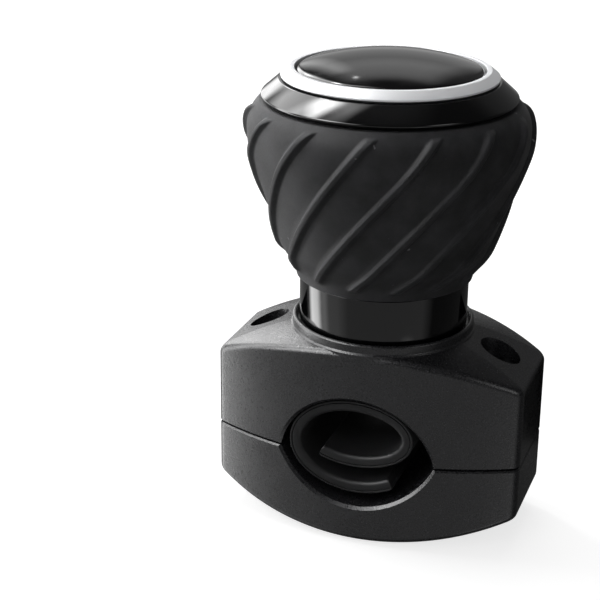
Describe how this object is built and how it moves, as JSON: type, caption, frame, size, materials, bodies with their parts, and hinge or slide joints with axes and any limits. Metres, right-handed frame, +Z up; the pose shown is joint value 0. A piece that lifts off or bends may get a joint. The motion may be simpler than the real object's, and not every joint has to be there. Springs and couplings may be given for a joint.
{
  "type": "steering wheel spinner knob",
  "caption": "Ribbed rubber spinner knob on ball bearings, standing on a two-part screwed clamp for a wheel rim, with a rolled rubber liner in the clamp's passage.",
  "frame": {"origin": "middle of the flat land under the clamp, on the knob's axis", "axes": "+X along the clamp's long side, +Y through the passage for the wheel rim, +Z up along the knob's axis"},
  "size_m": [0.06, 0.0538, 0.0911],
  "materials": {
    "textured_plastic": "fine grained black",
    "gloss_plastic": "polished black",
    "grip_rubber": "matte black",
    "liner_rubber": "dull black",
    "silver_trim": "satin silver",
    "bearing_steel": "ground and polished",
    "bearing_cage": "moulded nylon",
    "zinc_steel": "zinc plated",
    "black_steel": "blackened and oiled"
  },
  "bodies": {
    "base": {"clamp_upper": "textured_plastic", "pivot_bolt": "zinc_steel", "seat_washer": "zinc_steel", "spacer_sleeve": "zinc_steel", "top_washer": "zinc_steel", "lock_nut": "zinc_steel", "lower_inner_race": "bearing_steel", "upper_inner_race": "bearing_steel"},
    "knob": {"knob_core": "gloss_plastic", "rubber_grip": "grip_rubber", "top_bezel": "gloss_plastic", "trim_ring": "silver_trim", "dome_insert": "gloss_plastic", "lower_outer_race": "bearing_steel", "upper_outer_race": "bearing_steel"},
    "lower_balls": {"lower_cage": "bearing_cage", "lower_ball_1": "bearing_steel", "lower_ball_2": "bearing_steel", "lower_ball_3": "bearing_steel", "lower_ball_4": "bearing_steel", "lower_ball_5": "bearing_steel", "lower_ball_6": "bearing_steel", "lower_ball_7": "bearing_steel"},
    "upper_balls": {"upper_cage": "bearing_cage", "upper_ball_1": "bearing_steel", "upper_ball_2": "bearing_steel", "upper_ball_3": "bearing_steel", "upper_ball_4": "bearing_steel", "upper_ball_5": "bearing_steel", "upper_ball_6": "bearing_steel", "upper_ball_7": "bearing_steel"},
    "lower_half": {"clamp_lower": "textured_plastic", "clamp_nut_left": "zinc_steel", "clamp_nut_right": "zinc_steel", "rubber_liner": "liner_rubber"},
    "screw_left": {"clamp_screw_left": "black_steel"},
    "screw_right": {"clamp_screw_right": "black_steel"}
  },
  "joints": [
    {"name": "knob_spin", "type": "hinge", "parent": "base", "child": "knob", "pos_m": [0, 0, 0.0172], "axis": [0, 0, 1], "continuous": true},
    {"name": "lower_balls_spin", "type": "hinge", "parent": "base", "child": "lower_balls", "pos_m": [0, 0, 0.0172], "axis": [0, 0, 1], "continuous": true},
    {"name": "upper_balls_spin", "type": "hinge", "parent": "base", "child": "upper_balls", "pos_m": [0, 0, 0.0172], "axis": [0, 0, 1], "continuous": true},
    {"name": "clamp_open", "type": "slide", "parent": "base", "child": "lower_half", "axis": [0, 0, -1], "range_m": [0, 0.0025]},
    {"name": "screw_left_turn", "type": "hinge", "parent": "base", "child": "screw_left", "pos_m": [-0.0232, 0, 0.0172], "axis": [0, 0, 1], "range_deg": [0, 1300]},
    {"name": "screw_right_turn", "type": "hinge", "parent": "base", "child": "screw_right", "pos_m": [0.0232, 0, 0.0172], "axis": [0, 0, 1], "range_deg": [0, 1300]}
  ],
  "couplings": [
    {"joint": "lower_balls_spin", "follows": "knob_spin", "ratio": 0.63233},
    {"joint": "upper_balls_spin", "follows": "knob_spin", "ratio": 0.63233},
    {"joint": "screw_left_turn", "follows": "clamp_open", "rad_per_m": 8976},
    {"joint": "screw_right_turn", "follows": "clamp_open", "rad_per_m": 8976}
  ]
}
